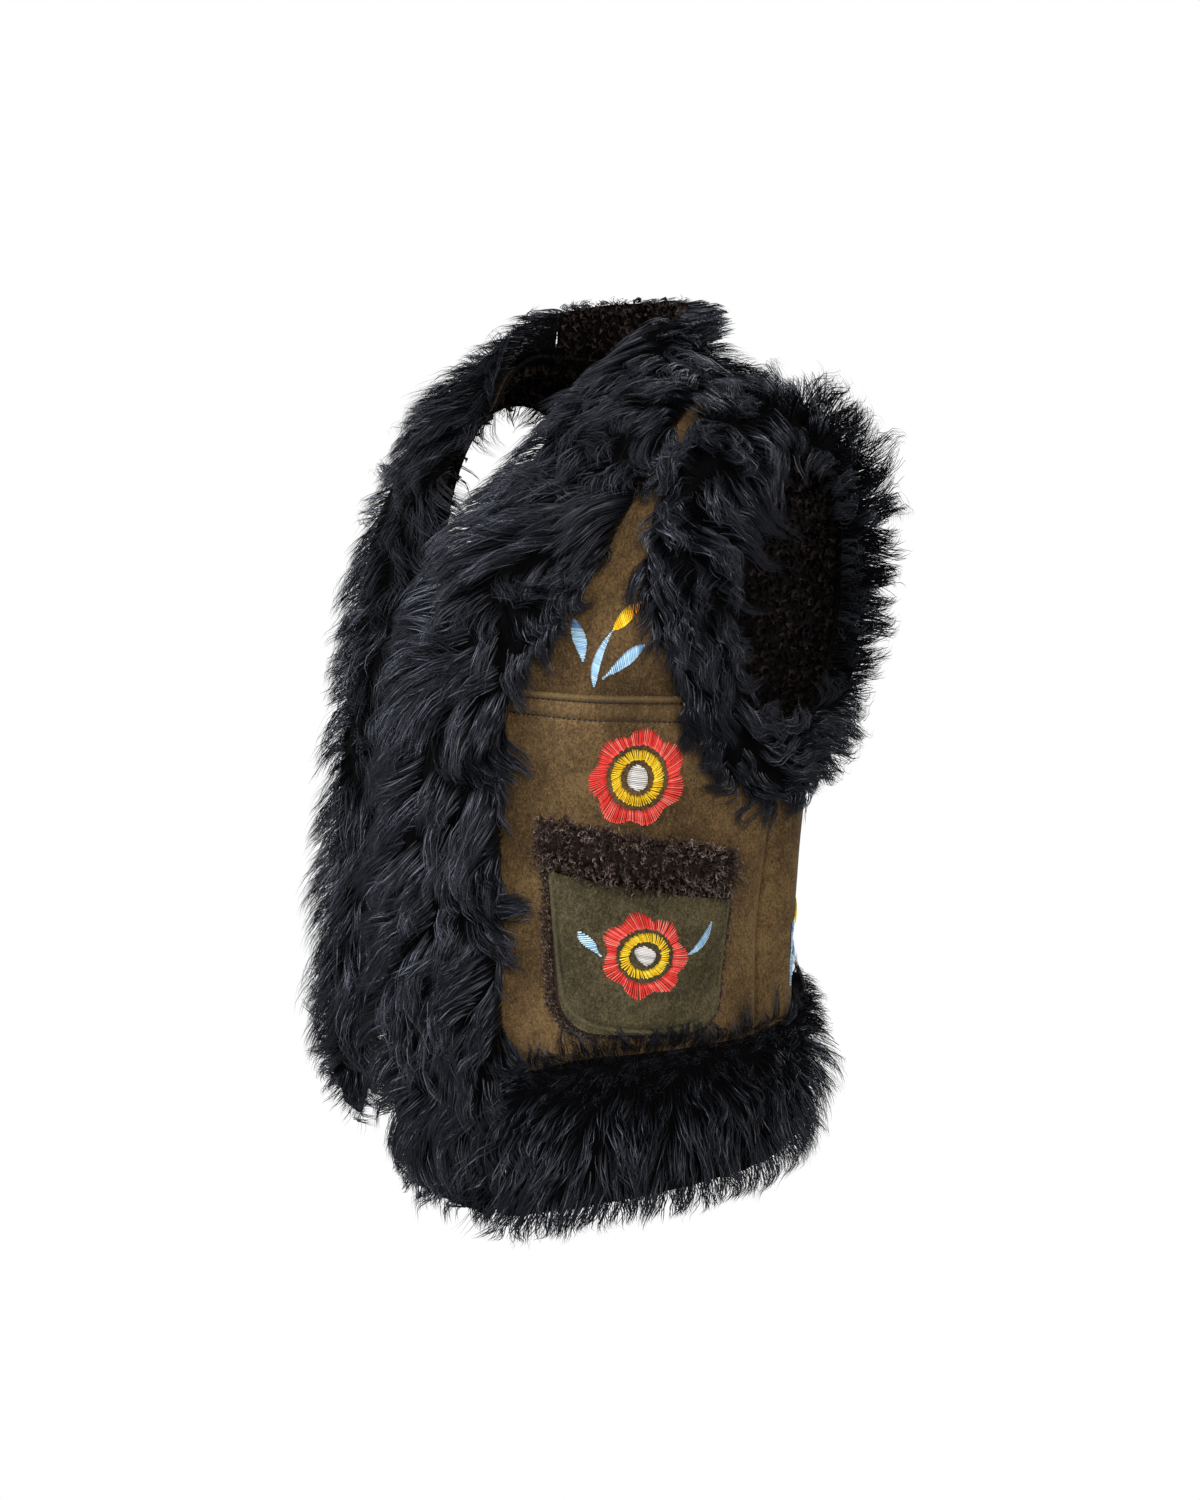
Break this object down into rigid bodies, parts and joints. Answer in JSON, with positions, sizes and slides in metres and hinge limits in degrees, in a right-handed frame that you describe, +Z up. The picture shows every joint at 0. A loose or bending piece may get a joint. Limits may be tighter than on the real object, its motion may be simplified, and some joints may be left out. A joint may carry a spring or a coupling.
{
  "type": "shearling vest",
  "caption": "Sleeveless open-front shearling vest in its hollow worn shape, with long black fur bands at front, neck, armholes and hem, and fleece-topped patch pockets.",
  "frame": {"origin": "midway between the neck ends of the two shoulder seams, at their height, where the wearer's shoulders hold the vest up", "axes": "+Z up, +X to the wearer's left, +Y to the wearer's back, so the open front faces -Y"},
  "size_m": [0.5304, 0.435, 0.7426],
  "materials": {
    "olive_suede": "matt olive-brown suede",
    "dark_olive_suede": "matt dark olive suede",
    "black_long_fur": "long black fur with a soft sheen",
    "brown_curly_fleece": "curly dark brown fleece"
  },
  "bodies": {
    "root": {"front_left": "olive_suede", "yoke_left": "olive_suede", "pocket_left": "dark_olive_suede", "cuff_left": "brown_curly_fleece", "fur_front_left": "black_long_fur", "fur_armhole_left": "black_long_fur", "front_right": "olive_suede", "yoke_right": "olive_suede", "pocket_right": "dark_olive_suede", "cuff_right": "brown_curly_fleece", "fur_front_right": "black_long_fur", "fur_armhole_right": "black_long_fur", "back": "olive_suede", "fur_collar": "black_long_fur", "fur_hem": "black_long_fur"}
  },
  "joints": []
}
